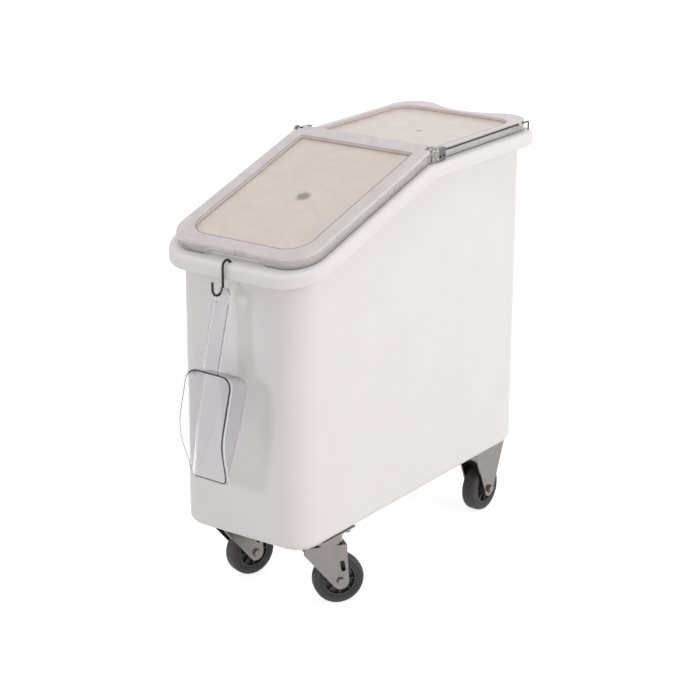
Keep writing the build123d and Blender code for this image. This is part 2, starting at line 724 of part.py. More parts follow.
def wheel_set(kind, hand, plane):
    # Axle bolt, nut, sleeve, hub and tyre on one axle
    half = fork_inside / 2
    outer = half + fork_sheet
    with BuildPart(plane) as axle:
        with Locations((0, 0, -outer - axle_nut_height - axle_end)):
            Cylinder(axle_radius, 2 * outer + axle_nut_height + axle_end,
                     align=(Align.CENTER, Align.CENTER, Align.MIN))
        with BuildSketch(plane.offset(outer)):
            RegularPolygon(axle_hex, 6)
        extrude(amount=axle_head)
    keep(axle, kind + "_axle_" + hand)

    with BuildPart(plane) as axle_nut:
        with BuildSketch(plane.offset(-outer)):
            RegularPolygon(axle_hex, 6)
            Circle(axle_radius + running_fit, mode=Mode.SUBTRACT)
        extrude(amount=-axle_nut_height)
    keep(axle_nut, kind + "_axle_nut_" + hand)

    with BuildPart(plane) as sleeve:
        ring(sleeve_radius, axle_radius + running_fit, -half, half)
    keep(sleeve, kind + "_sleeve_" + hand)

    with BuildPart(plane) as hub:
        ring(tyre_bore, 0, -hub_width / 2, hub_width / 2)
        for face in (-1, 1):
            with BuildSketch(plane.offset(face * hub_width / 2)):
                Circle(hub_groove_outer)
                Circle(hub_groove_inner, mode=Mode.SUBTRACT)
            extrude(amount=-face * hub_groove_depth, mode=Mode.SUBTRACT)
        ring(hub_boss_radius, 0, -hub_boss_width / 2, hub_boss_width / 2)
        Cylinder(sleeve_radius + running_fit, 2 * hub_boss_width, mode=Mode.SUBTRACT)
    keep(hub, kind + "_hub_" + hand)

    with BuildPart(plane) as tyre:
        with BuildSketch(plane.offset(-tyre_width / 2)):
            Circle(wheel_radius)
        extrude(amount=tyre_width)
        fillet(edges(), tyre_shoulder)
        Cylinder(tyre_bore, 2 * tyre_width, mode=Mode.SUBTRACT)
    keep(tyre, kind + "_tyre_" + hand)


def leg_outline(low, high, back, front):
    # Side view of a fork's leg, from its top strip down round the axle
    with BuildSketch() as outline:
        with Locations(((back + front) / 2, (low + high) / 2 - wheel_radius)):
            Rectangle(front - back, high - low)
        Circle(axle_boss_radius)
        make_hull()
        Circle(axle_radius + running_fit, mode=Mode.SUBTRACT)
    return outline.sketch


def sheet_legs(plane, low, high, back, front, pressed):
    # Two sheet legs; those of the swivel forks have a slot above the axle and stand proud behind a pressed fold
    with BuildPart() as legs:
        for face in (-1, 1):
            with BuildSketch(plane.offset(face * (fork_inside / 2))):
                add(leg_outline(low, high, back, front))
                if pressed:
                    with Locations((fork_slot_forward, fork_slot_height)):
                        SlotOverall(fork_slot_length, fork_slot_width, rotation=90 + fork_slot_lean,
                                    mode=Mode.SUBTRACT)
            extrude(amount=face * fork_sheet)
            if pressed:
                with BuildSketch(plane.offset(face * (fork_inside / 2 + fork_sheet))):
                    add(leg_outline(low, high, back, front))
                    with Locations((-fork_fold, 0)):
                        Rectangle(reach, reach, align=(Align.MIN, Align.CENTER), mode=Mode.SUBTRACT)
                extrude(amount=face * fork_fold_height)
    return legs.part


for side, hand, turn in ((-1, "left", swivel_turn_left), (1, "right", swivel_turn_right)):
    king = (side * swivel_x, swivel_y)
    wheel_x = king[0] + swivel_trail * sin(radians(90 - turn))
    wheel_y = king[1] + swivel_trail * sin(radians(turn))
    plane = axle_plane(wheel_x, wheel_y, turn)
    wheel_set("swivel", hand, plane)

    # Top plate with the upper race and the cup round the balls
    with BuildPart() as swivel_plate:
        with Locations((king[0], king[1], floor_height - plate_thickness)):
            Box(swivel_plate_width, swivel_plate_length, plate_thickness,
                align=(Align.CENTER, Align.CENTER, Align.MIN))
        with Locations((king[0], king[1], cup_low)):
            Cylinder(cup_radius, floor_height - plate_thickness - cup_low,
                     align=(Align.CENTER, Align.CENTER, Align.MIN))
            Cylinder(cup_inner, cup_race - cup_low, align=(Align.CENTER, Align.CENTER, Align.MIN),
                     mode=Mode.SUBTRACT)
            Cylinder(kingpin_radius + running_fit, floor_height, mode=Mode.SUBTRACT)
        for a in (-1, 1):
            for b in (-1, 1):
                spot = (king[0] + a * swivel_bolt_x, king[1] + b * swivel_bolt_y, floor_height)
                with Locations(spot):
                    Cylinder(bolt_radius + bolt_gap, 4 * plate_thickness, mode=Mode.SUBTRACT)
    keep(swivel_plate, "swivel_plate_" + hand)

    with BuildPart() as swivel_balls:
        with Locations((king[0], king[1], (race_top + cup_race) / 2)):
            with PolarLocations(ball_ring, ball_count):
                Sphere(ball_radius)
    keep(swivel_balls, "swivel_balls_" + hand)

    # Kingpin, headed under the fork's crown
    crown_low = crown_top - fork_sheet
    with BuildPart() as kingpin:
        with Locations((king[0], king[1], crown_low - kingpin_gap - kingpin_head)):
            Cylinder(kingpin_head_radius, kingpin_head, align=(Align.CENTER, Align.CENTER, Align.MIN))
            Cylinder(kingpin_radius, floor_height - crown_low + kingpin_gap + kingpin_head,
                     align=(Align.CENTER, Align.CENTER, Align.MIN))
    keep(kingpin, "kingpin_" + hand)

    with BuildPart() as swivel_fork:
        add(sheet_legs(plane, crown_top - gusset_height, crown_top, -crown_back, crown_front, True))
        with BuildSketch(Plane(origin=(wheel_x, wheel_y, crown_low), x_dir=plane.x_dir, z_dir=(0, 0, 1))):
            with Locations(((crown_front - crown_back) / 2, 0)):
                Rectangle(crown_front + crown_back, fork_inside + fork_sheet)
        extrude(amount=fork_sheet)
        with Locations((king[0], king[1], crown_low)):
            Cylinder(race_radius, race_top - crown_low, align=(Align.CENTER, Align.CENTER, Align.MIN))
            Cylinder(kingpin_radius + running_fit, floor_height, mode=Mode.SUBTRACT)
    keep(swivel_fork, "swivel_fork_" + hand)

for side, hand in ((-1, "left"), (1, "right")):
    plane = axle_plane(side * fixed_x, fixed_y, 90)
    wheel_set("fixed", hand, plane)
    with BuildPart() as fixed_fork:
        add(sheet_legs(plane, floor_height - plate_thickness, floor_height, -fixed_leg_half, fixed_leg_half, False))
        with Locations((side * fixed_x, fixed_y, floor_height - plate_thickness)):
            Box(fork_inside + 2 * fork_sheet, fixed_plate_length, plate_thickness,
                align=(Align.CENTER, Align.CENTER, Align.MIN))
        for a in (-1, 1):
            for b in (-1, 1):
                spot = (side * fixed_x + a * fixed_bolt_x, fixed_y + b * fixed_bolt_y, floor_height)
                with Locations(spot):
                    Cylinder(bolt_radius + bolt_gap, 4 * plate_thickness, mode=Mode.SUBTRACT)
    keep(fixed_fork, "fixed_fork_" + hand)

# Bolts, washers and nuts of all four casters
plate_low = floor_height - plate_thickness
nut_low = plate_low - washer_thickness - nut_height
with BuildPart() as caster_bolts:
    for x, y in bolt_spots:
        with Locations((x, y, nut_low - bolt_end)):
            Cylinder(bolt_radius, floor_height + tub_wall - nut_low + bolt_end,
                     align=(Align.CENTER, Align.CENTER, Align.MIN))
        with Locations((x, y, floor_height + tub_wall)):
            Cylinder(bolt_head_radius, bolt_head, align=(Align.CENTER, Align.CENTER, Align.MIN))
keep(caster_bolts, "caster_bolts")

with BuildPart() as caster_washers:
    for x, y in bolt_spots:
        with Locations((x, y, plate_low - washer_thickness)):
            Cylinder(washer_radius, washer_thickness, align=(Align.CENTER, Align.CENTER, Align.MIN))
            Cylinder(bolt_radius + bolt_gap, 4 * washer_thickness, mode=Mode.SUBTRACT)
keep(caster_washers, "caster_washers")

with BuildPart() as caster_nuts:
    for x, y in bolt_spots:
        with BuildSketch(Plane(origin=(x, y, nut_low))):
            RegularPolygon(nut_hex, 6)
            Circle(bolt_radius + running_fit, mode=Mode.SUBTRACT)
        extrude(amount=nut_height)
keep(caster_nuts, "caster_nuts")
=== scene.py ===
import json
from math import cos, pi, radians, sin

import bmesh
import bpy
from mathutils import Matrix, Vector


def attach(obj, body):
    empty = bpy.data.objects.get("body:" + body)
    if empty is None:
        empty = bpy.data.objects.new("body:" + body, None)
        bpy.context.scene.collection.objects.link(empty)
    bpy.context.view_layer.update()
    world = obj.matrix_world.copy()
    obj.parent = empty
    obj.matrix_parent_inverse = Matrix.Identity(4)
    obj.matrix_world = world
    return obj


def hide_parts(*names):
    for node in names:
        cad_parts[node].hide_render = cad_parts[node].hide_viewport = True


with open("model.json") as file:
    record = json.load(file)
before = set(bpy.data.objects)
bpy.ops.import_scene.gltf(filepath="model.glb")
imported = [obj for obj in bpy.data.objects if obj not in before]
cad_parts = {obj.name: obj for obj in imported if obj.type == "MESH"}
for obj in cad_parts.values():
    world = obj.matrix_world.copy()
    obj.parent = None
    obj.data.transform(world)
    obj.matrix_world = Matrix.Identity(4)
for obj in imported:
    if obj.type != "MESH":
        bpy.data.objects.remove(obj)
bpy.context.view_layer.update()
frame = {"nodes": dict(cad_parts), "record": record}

cadNodes = frame["nodes"]
print("bin: CAD nodes loaded", len(cadNodes))


def addNode(tree, kind, settings=None, values=None, links=None):
    # one node with its settings, its fixed values and the outputs that feed it
    node = tree.nodes.new(kind)
    for name, value in (settings or {}).items():
        setattr(node, name, value)
    for socket, value in (values or {}).items():
        node.inputs[socket].default_value = value
    for socket, source in (links or {}).items():
        tree.links.new(source, node.inputs[socket])
    return node


def paint(code):
    # sRGB hex to linear colour
    channels = [int(code[i:i + 2], 16) / 255 for i in (1, 3, 5)]
    return tuple([c / 12.92 if c <= 0.04045 else ((c + 0.055) / 1.055) ** 2.4 for c in channels] + [1.0])


def perMetre(size):
    # texture scale for a grain of this size in millimetres
    return 1000.0 / size


def newFinish(name):
    material = bpy.data.materials.new(name)
    material.use_nodes = True
    tree = material.node_tree
    tree.nodes.clear()
    place = addNode(tree, "ShaderNodeTexCoord").outputs["Object"]
    return material, tree, place


def finishWith(tree, shader):
    addNode(tree, "ShaderNodeOutputMaterial", links={"Surface": shader.outputs[0]})


polycarbonateIor = 1.585

# cloud, peel and wave are sizes in millimetres; the two depths and glowReach are in metres
tubLook = {"light": "#F6F3F2", "shade": "#EFEBEA", "cloud": 90.0, "cloudDetail": 3.0,
           "peel": 1.6, "peelDetail": 2.0, "wave": 70.0, "waveDetail": 1.0,
           "relief": 0.08, "peelDepth": 0.0002, "waveDepth": 0.003, "roughLow": 0.36, "roughHigh": 0.46,
           "ior": 1.51, "glow": 0.12, "glowReach": (0.012, 0.010, 0.009), "glowScale": 0.5}


def makeTubPlastic():
    # natural white polyethylene, rotationally moulded: soft sheen, faint orange peel, slightly uneven walls
    material, tree, place = newFinish("tubPolyethylene")
    cloud = addNode(tree, "ShaderNodeTexNoise",
                    values={"Scale": perMetre(tubLook["cloud"]), "Detail": tubLook["cloudDetail"]},
                    links={"Vector": place})
    tone = addNode(tree, "ShaderNodeMix", {"data_type": "RGBA"},
                   {6: paint(tubLook["shade"]), 7: paint(tubLook["light"])}, {0: cloud.outputs["Fac"]})
    rough = addNode(tree, "ShaderNodeMapRange",
                    values={"To Min": tubLook["roughLow"], "To Max": tubLook["roughHigh"]},
                    links={"Value": cloud.outputs["Fac"]})
    peel = addNode(tree, "ShaderNodeTexNoise",
                   values={"Scale": perMetre(tubLook["peel"]), "Detail": tubLook["peelDetail"]},
                   links={"Vector": place})
    wave = addNode(tree, "ShaderNodeTexNoise",
                   values={"Scale": perMetre(tubLook["wave"]), "Detail": tubLook["waveDetail"]},
                   links={"Vector": place})
    fine = addNode(tree, "ShaderNodeBump",
                   values={"Strength": tubLook["relief"], "Distance": tubLook["peelDepth"]},
                   links={"Height": peel.outputs["Fac"]})
    broad = addNode(tree, "ShaderNodeBump",
                    values={"Strength": tubLook["relief"], "Distance": tubLook["waveDepth"]},
                    links={"Height": wave.outputs["Fac"], "Normal": fine.outputs[0]})
    shader = addNode(tree, "ShaderNodeBsdfPrincipled",
                     values={"IOR": tubLook["ior"], "Subsurface Weight": tubLook["glow"],
                             "Subsurface Radius": tubLook["glowReach"],
                             "Subsurface Scale": tubLook["glowScale"]},
                     links={"Base Color": tone.outputs[2], "Roughness": rough.outputs[0],
                            "Normal": broad.outputs[0]})
    finishWith(tree, shader)
    return material


# lengths in millimetres, but rippleDepth in metres; the other depths say how strong a dark tone is, up to 1;
# the painted shade by the gate has its inner and outer edges as shares of its radius; plateLow and skirtHigh
# are heights over the lid's plane, footHigh and footLow heights over the skirt's foot
lidLook = {"border": "#E0D0D0", "borderPale": "#F9F3F3", "panel": "#EDDACF", "panelPale": "#FCF2EB",
           "shadeLine": "#4A4543", "shadeLineHalf": 0.5, "shadeLineSoft": 0.4, "shadeLineOut": 1.2, "shadeLineDepth": 0.85,
           "gateShade": "#7E736B", "gateShadeDepth": 0.75, "gateShadeInner": 0.5, "gateShadeOuter": 1.4,
           "ringHalf": 0.45, "ringDepth": 0.6, "panelBlend": 1.0,
           "streak": 24.0, "streakDetail": 3.0, "streakSwirl": 0.6,
           "cloud": 60.0, "cloudDetail": 2.0, "cloudSwirl": 1.5, "ripple": 0.06, "rippleDepth": 0.001,
           "through": 0.18, "skirt": "#F6F4F3", "skirtThrough": 0.86, "skirtGloss": 0.3,
           "plateLow": -3.4, "skirtHigh": -4.4, "footHigh": 1.1, "footLow": 0.6, "footDepth": 0.85,
           "roughLow": 0.16, "roughHigh": 0.30}
# the sunk panels, in millimetres and degrees: turn of the lid's plane and a point on it, the panel's middle,
# half sizes and front and rear corners, the painted shade by the gate and the small ring by it as x, y and
# radius, and the skirt's depth
frontPanel = {"slope": 17.3, "spot": (0.0, 18.6, 742.0), "middle": (0.0, -193.5), "half": (112.0, 162.5),
              "corners": (40.0, 3.0), "gateShade": (8.0, -199.0, 12.0), "ring": (-2.0, -189.0, 6.5), "foot": 19.6}
rearPanel = {"slope": 0.0, "spot": (0.0, 0.0, 732.4), "middle": (0.0, 100.0), "half": (118.0, 204.0),
             "corners": (36.0, 36.0), "gateShade": (15.0, 158.0, 5.0), "ring": (15.0, 158.0, 4.0), "foot": 17.6}


def makeLidPlastic(name, panel):
    # frosted polycarbonate, injection moulded: milky, pinkish grey where the rim below doubles the border,
    # warmer over the sunk panel as painted shade of the dim tub inside seen through, a thin painted shade
    # line round the panel, streaks along the flow, clearer glossy skirts with a painted shadow line at their
    # foot
    material, tree, place = newFinish(name)
    # millimetres in the lid's own plane: x across it, y along it to the rear, z up from it
    level = addNode(tree, "ShaderNodeMapping", {"vector_type": "TEXTURE"},
                    {"Location": [v / 1000 for v in panel["spot"]],
                     "Rotation": (radians(panel["slope"]), 0.0, 0.0),
                     "Scale": (0.001, 0.001, 0.001)}, {"Vector": place})
    # distance from the panel's outline, a rectangle with round corners: below zero on the panel
    middle = addNode(tree, "ShaderNodeVectorMath", {"operation": "SUBTRACT"},
                     {1: (*panel["middle"], 0.0)}, {0: level.outputs[0]})
    flat = addNode(tree, "ShaderNodeVectorMath", {"operation": "MULTIPLY"}, {1: (1.0, 1.0, 0.0)},
                   {0: middle.outputs[0]})
    along = addNode(tree, "ShaderNodeSeparateXYZ", links={0: flat.outputs[0]})
    rear = addNode(tree, "ShaderNodeMath", {"operation": "GREATER_THAN"}, {1: 0.0}, {0: along.outputs[1]})
    corner = addNode(tree, "ShaderNodeMapRange",
                     values={"To Min": panel["corners"][0], "To Max": panel["corners"][1]},
                     links={"Value": rear.outputs[0]})
    apart = addNode(tree, "ShaderNodeVectorMath", {"operation": "ABSOLUTE"}, links={0: flat.outputs[0]})
    inner = addNode(tree, "ShaderNodeVectorMath", {"operation": "SUBTRACT"}, {1: (*panel["half"], 0.0)},
                    {0: apart.outputs[0]})
    lift = addNode(tree, "ShaderNodeCombineXYZ", links={0: corner.outputs[0], 1: corner.outputs[0]})
    outer = addNode(tree, "ShaderNodeVectorMath", {"operation": "ADD"},
                    links={0: inner.outputs[0], 1: lift.outputs[0]})
    clipped = addNode(tree, "ShaderNodeVectorMath", {"operation": "MAXIMUM"}, {1: (0.0, 0.0, 0.0)},
                      {0: outer.outputs[0]})
    reach = addNode(tree, "ShaderNodeVectorMath", {"operation": "LENGTH"}, links={0: clipped.outputs[0]})
    sides = addNode(tree, "ShaderNodeSeparateXYZ", links={0: outer.outputs[0]})
    deepest = addNode(tree, "ShaderNodeMath", {"operation": "MAXIMUM"},
                      links={0: sides.outputs[0], 1: sides.outputs[1]})
    inside = addNode(tree, "ShaderNodeMath", {"operation": "MINIMUM"}, {1: 0.0}, {0: deepest.outputs[0]})
    total = addNode(tree, "ShaderNodeMath", {"operation": "ADD"},
                    links={0: reach.outputs["Value"], 1: inside.outputs[0]})
    edge = addNode(tree, "ShaderNodeMath", {"operation": "SUBTRACT"},
                   links={0: total.outputs[0], 1: corner.outputs[0]})
    onPanel = addNode(tree, "ShaderNodeMapRange",
                      values={"From Min": lidLook["panelBlend"], "From Max": -lidLook["panelBlend"]},
                      links={"Value": edge.outputs[0]})
    # a thin painted shade line on the border just outside the sunk panel's edge
    shadeLineOff = addNode(tree, "ShaderNodeMath", {"operation": "SUBTRACT"}, {1: lidLook["shadeLineOut"]},
                      {0: edge.outputs[0]})
    shadeLineGap = addNode(tree, "ShaderNodeMath", {"operation": "ABSOLUTE"}, links={0: shadeLineOff.outputs[0]})
    onShadeLine = addNode(tree, "ShaderNodeMapRange",
                     values={"From Min": lidLook["shadeLineHalf"] + lidLook["shadeLineSoft"],
                             "From Max": lidLook["shadeLineHalf"], "To Max": lidLook["shadeLineDepth"]},
                     links={"Value": shadeLineGap.outputs[0]})
    # streaks and clouds of the flow
    streak = addNode(tree, "ShaderNodeTexNoise",
                     values={"Scale": 1 / lidLook["streak"], "Detail": lidLook["streakDetail"],
                             "Distortion": lidLook["streakSwirl"]},
                     links={"Vector": level.outputs[0]})
    cloud = addNode(tree, "ShaderNodeTexNoise",
                    values={"Scale": 1 / lidLook["cloud"], "Detail": lidLook["cloudDetail"],
                            "Distortion": lidLook["cloudSwirl"]},
                    links={"Vector": level.outputs[0]})
    border = addNode(tree, "ShaderNodeMix", {"data_type": "RGBA"},
                     {6: paint(lidLook["border"]), 7: paint(lidLook["borderPale"])},
                     {0: streak.outputs["Fac"]})
    # painted shade: the warmer tone over the sunk panel stands for the dim tub inside seen through
    panelShade = addNode(tree, "ShaderNodeMix", {"data_type": "RGBA"},
                   {6: paint(lidLook["panel"]), 7: paint(lidLook["panelPale"])}, {0: cloud.outputs["Fac"]})
    tone = addNode(tree, "ShaderNodeMix", {"data_type": "RGBA"},
                   links={0: onPanel.outputs[0], 6: border.outputs[2], 7: panelShade.outputs[2]})
    shadeLine = addNode(tree, "ShaderNodeMix", {"data_type": "RGBA"}, {7: paint(lidLook["shadeLine"])},
                   {0: onShadeLine.outputs[0], 6: tone.outputs[2]})
    # a painted shadow by the gate, soft at its edge, and the small ring by it
    gateShadeX, gateShadeY, gateShadeSize = panel["gateShade"]
    away = addNode(tree, "ShaderNodeVectorMath", {"operation": "DISTANCE"},
                   {1: (gateShadeX - panel["middle"][0], gateShadeY - panel["middle"][1], 0.0)}, {0: flat.outputs[0]})
    onGateShade = addNode(tree, "ShaderNodeMapRange", {"interpolation_type": "SMOOTHSTEP"},
                     {"From Min": gateShadeSize * lidLook["gateShadeOuter"],
                      "From Max": gateShadeSize * lidLook["gateShadeInner"], "To Max": lidLook["gateShadeDepth"]},
                     {"Value": away.outputs["Value"]})
    gateShaded = addNode(tree, "ShaderNodeMix", {"data_type": "RGBA"}, {7: paint(lidLook["gateShade"])},
                     {0: onGateShade.outputs[0], 6: shadeLine.outputs[2]})
    ringX, ringY, ringRadius = panel["ring"]
    ringAway = addNode(tree, "ShaderNodeVectorMath", {"operation": "DISTANCE"},
                       {1: (ringX - panel["middle"][0], ringY - panel["middle"][1], 0.0)},
                       {0: flat.outputs[0]})
    nearRing = addNode(tree, "ShaderNodeMath", {"operation": "COMPARE"},
                       {1: ringRadius, 2: lidLook["ringHalf"]}, {0: ringAway.outputs["Value"]})
    onRing = addNode(tree, "ShaderNodeMath", {"operation": "MULTIPLY"}, {1: lidLook["ringDepth"]},
                     {0: nearRing.outputs[0]})
    ringed = addNode(tree, "ShaderNodeMix", {"data_type": "RGBA"}, {7: paint(lidLook["gateShade"])},
                     {0: onRing.outputs[0], 6: gateShaded.outputs[2]})
    # clearer skirts below the plate, and a painted shadow line along their foot
    deep = addNode(tree, "ShaderNodeSeparateXYZ", links={0: level.outputs[0]})
    below = addNode(tree, "ShaderNodeMapRange",
                    values={"From Min": lidLook["plateLow"], "From Max": lidLook["skirtHigh"]},
                    links={"Value": deep.outputs[2]})
    skirt = addNode(tree, "ShaderNodeMath", {"operation": "SUBTRACT", "use_clamp": True},
                    links={0: below.outputs[0], 1: onPanel.outputs[0]})
    skirted = addNode(tree, "ShaderNodeMix", {"data_type": "RGBA"}, {7: paint(lidLook["skirt"])},
                      {0: skirt.outputs[0], 6: ringed.outputs[2]})
    foot = addNode(tree, "ShaderNodeMapRange",
                   values={"From Min": lidLook["footHigh"] - panel["foot"],
                           "From Max": lidLook["footLow"] - panel["foot"], "To Max": lidLook["footDepth"]},
                   links={"Value": deep.outputs[2]})
    footShadowed = addNode(tree, "ShaderNodeMix", {"data_type": "RGBA"}, {7: paint(lidLook["shadeLine"])},
                     {0: foot.outputs[0], 6: skirted.outputs[2]})
    through = addNode(tree, "ShaderNodeMapRange",
                      values={"To Min": lidLook["through"], "To Max": lidLook["skirtThrough"]},
                      links={"Value": skirt.outputs[0]})
    rough = addNode(tree, "ShaderNodeMapRange",
                    values={"To Min": lidLook["roughLow"], "To Max": lidLook["roughHigh"]},
                    links={"Value": streak.outputs["Fac"]})
    gloss = addNode(tree, "ShaderNodeMapRange", values={"To Min": 1.0, "To Max": lidLook["skirtGloss"]},
                    links={"Value": skirt.outputs[0]})
    sheen = addNode(tree, "ShaderNodeMath", {"operation": "MULTIPLY"},
                    links={0: rough.outputs[0], 1: gloss.outputs[0]})
    bump = addNode(tree, "ShaderNodeBump",
                   values={"Strength": lidLook["ripple"], "Distance": lidLook["rippleDepth"]},
                   links={"Height": streak.outputs["Fac"]})
    shader = addNode(tree, "ShaderNodeBsdfPrincipled", values={"IOR": polycarbonateIor},
                     links={"Base Color": footShadowed.outputs[2], "Roughness": sheen.outputs[0],
                            "Transmission Weight": through.outputs[0], "Normal": bump.outputs[0]})
    finishWith(tree, shader)
    return material


# grain in millimetres; edge is the colour of a painted dark outline where the faces turn away
blockLook = {"clear": "#F4F2F1", "cloudy": "#E4E0DE", "edge": "#7A7775", "edgeBlend": 0.2,
             "grain": 9.0, "grainDetail": 2.0, "through": 0.85, "roughLow": 0.03, "roughHigh": 0.1}


def makeBlockPlastic():
    # the same polycarbonate in small thick blocks: clearer than the lids, with a painted dark outline where
    # the faces turn away
    material, tree, place = newFinish("sliderPolycarbonate")
    grain = addNode(tree, "ShaderNodeTexNoise",
                    values={"Scale": perMetre(blockLook["grain"]), "Detail": blockLook["grainDetail"]},
                    links={"Vector": place})
    tone = addNode(tree, "ShaderNodeMix", {"data_type": "RGBA"},
                   {6: paint(blockLook["cloudy"]), 7: paint(blockLook["clear"])}, {0: grain.outputs["Fac"]})
    rough = addNode(tree, "ShaderNodeMapRange",
                    values={"To Min": blockLook["roughLow"], "To Max": blockLook["roughHigh"]},
                    links={"Value": grain.outputs["Fac"]})
    glance = addNode(tree, "ShaderNodeLayerWeight", values={"Blend": blockLook["edgeBlend"]})
    paintedOutline = addNode(tree, "ShaderNodeMix", {"data_type": "RGBA"}, {7: paint(blockLook["edge"])},
                    {0: glance.outputs["Facing"], 6: tone.outputs[2]})
    shader = addNode(tree, "ShaderNodeBsdfPrincipled",
                     values={"IOR": polycarbonateIor, "Transmission Weight": blockLook["through"]},
                     links={"Base Color": paintedOutline.outputs[2], "Roughness": rough.outputs[0]})
    finishWith(tree, shader)
    return material


# ripple in millimetres, rippleDepth in metres; edge is the colour of a painted dark outline where the edges
# are seen end on
scoopLook = {"clear": "#F2F2F4", "edge": "#161618", "edgeBlend": 0.5, "edgeFrom": 0.45, "edgeTo": 0.9,
             "haze": 0.02, "hazeSpread": 0.04, "ripple": 12.0, "rippleDetail": 1.0, "rippleRelief": 0.04,
             "rippleDepth": 0.0008}


def makeScoopPlastic():
    # clear polycarbonate, injection moulded thin: water clear, with a painted dark outline where its edges
    # are seen end on
    material, tree, place = newFinish("scoopPolycarbonate")
    ripple = addNode(tree, "ShaderNodeTexNoise",
                     values={"Scale": perMetre(scoopLook["ripple"]), "Detail": scoopLook["rippleDetail"]},
                     links={"Vector": place})
    bump = addNode(tree, "ShaderNodeBump",
                   values={"Strength": scoopLook["rippleRelief"], "Distance": scoopLook["rippleDepth"]},
                   links={"Height": ripple.outputs["Fac"]})
    rough = addNode(tree, "ShaderNodeMapRange",
                    values={"To Min": scoopLook["haze"],
                            "To Max": scoopLook["haze"] + scoopLook["hazeSpread"]},
                    links={"Value": ripple.outputs["Fac"]})
    glance = addNode(tree, "ShaderNodeLayerWeight", values={"Blend": scoopLook["edgeBlend"]})
    onPaintedOutline = addNode(tree, "ShaderNodeMapRange",
                     values={"From Min": scoopLook["edgeFrom"], "From Max": scoopLook["edgeTo"]},
                     links={"Value": glance.outputs["Facing"]})
    tone = addNode(tree, "ShaderNodeMix", {"data_type": "RGBA"},
                   {6: paint(scoopLook["clear"]), 7: paint(scoopLook["edge"])}, {0: onPaintedOutline.outputs[0]})
    shader = addNode(tree, "ShaderNodeBsdfPrincipled",
                     values={"IOR": polycarbonateIor, "Transmission Weight": 1.0},
                     links={"Base Color": tone.outputs[2], "Roughness": rough.outputs[0],
                            "Normal": bump.outputs[0]})
    finishWith(tree, shader)
    return material


metalRelief = {"detail": 4.0, "strength": 0.15}


def makeMetal(name, look):
    # bare or plated steel: two close tones and a cloudy shine
    material, tree, place = newFinish(name)
    noise = addNode(tree, "ShaderNodeTexNoise",
                    values={"Scale": perMetre(look["grain"]), "Detail": metalRelief["detail"]},
                    links={"Vector": place})
    tone = addNode(tree, "ShaderNodeMix", {"data_type": "RGBA"},
                   {6: paint(look["base"]), 7: paint(look["worn"])}, {0: noise.outputs["Fac"]})
    rough = addNode(tree, "ShaderNodeMapRange",
                    values={"To Min": look["roughLow"], "To Max": look["roughHigh"]},
                    links={"Value": noise.outputs["Fac"]})
    bump = addNode(tree, "ShaderNodeBump",
                   values={"Strength": metalRelief["strength"], "Distance": look["dent"]},
                   links={"Height": noise.outputs["Fac"]})
    shader = addNode(tree, "ShaderNodeBsdfPrincipled", values={"Metallic": 1.0},
                     links={"Base Color": tone.outputs[2], "Roughness": rough.outputs[0],
                            "Normal": bump.outputs[0]})
    finishWith(tree, shader)
    return material


wheelRelief = {"ior": 1.52, "detail": 3.0, "strength": 0.2, "depth": 0.0002}  # depth in metres


def makeWheelFinish(name, look):
    # dark moulded plastic or rubber with a fine grain and faint dust
    material, tree, place = newFinish(name)
    noise = addNode(tree, "ShaderNodeTexNoise",
                    values={"Scale": perMetre(look["grain"]), "Detail": wheelRelief["detail"]},
                    links={"Vector": place})
    tone = addNode(tree, "ShaderNodeMix", {"data_type": "RGBA"},
                   {6: paint(look["base"]), 7: paint(look["dust"])}, {0: noise.outputs["Fac"]})
    rough = addNode(tree, "ShaderNodeMapRange",
                    values={"To Min": look["roughLow"], "To Max": look["roughHigh"]},
                    links={"Value": noise.outputs["Fac"]})
    bump = addNode(tree, "ShaderNodeBump",
                   values={"Strength": wheelRelief["strength"], "Distance": wheelRelief["depth"]},
                   links={"Height": noise.outputs["Fac"]})
    shader = addNode(tree, "ShaderNodeBsdfPrincipled", values={"IOR": wheelRelief["ior"]},
                     links={"Base Color": tone.outputs[2], "Roughness": rough.outputs[0],
                            "Normal": bump.outputs[0]})
    finishWith(tree, shader)
    return material


# grain in millimetres, dent in metres; the real grain of the wire, hubs and tyres is well under a millimetre
# and is drawn this coarse so that it shows
wireLook = {"base": "#2B2928", "worn": "#3E3B3A", "grain": 3.0, "roughLow": 0.22, "roughHigh": 0.34,
            "dent": 0.0001}
zincLook = {"base": "#7A7674", "worn": "#918D8B", "grain": 12.0, "roughLow": 0.18, "roughHigh": 0.32,
            "dent": 0.00002}
bearingLook = {"base": "#B2B0AD", "worn": "#C4C2BF", "grain": 2.0, "roughLow": 0.12, "roughHigh": 0.2,
               "dent": 0.00005}
hubLook = {"base": "#333233", "dust": "#3E3D3E", "grain": 1.5, "roughLow": 0.38, "roughHigh": 0.5}
tyreLook = {"base": "#2E2D2D", "dust": "#3D3C3B", "grain": 0.9, "roughLow": 0.5, "roughHigh": 0.68}

tubPlastic = makeTubPlastic()
frontLidPlastic = makeLidPlastic("frontLidPolycarbonate", frontPanel)
rearLidPlastic = makeLidPlastic("rearLidPolycarbonate", rearPanel)
blockPlastic = makeBlockPlastic()
scoopPlastic = makeScoopPlastic()
# stainless wire, drawn and bent: dark grey lines with a thin highlight
wireSteel = makeMetal("drawnStainlessWire", wireLook)
# zinc-plated pressed steel, dulled: grey with a soft cloudy shine
zincSteel = makeMetal("zincPlatedSteel", zincLook)
# hardened bearing steel: brighter than the plate round it
bearingSteel = makeMetal("bearingSteel", bearingLook)
# moulded polypropylene hub: dark grey, satin
hubPlastic = makeWheelFinish("hubPolypropylene", hubLook)
# grey-black moulded rubber tyre: matt, faint dust
tyreRubber = makeWheelFinish("tyreRubber", tyreLook)
print("bin: finishes made")


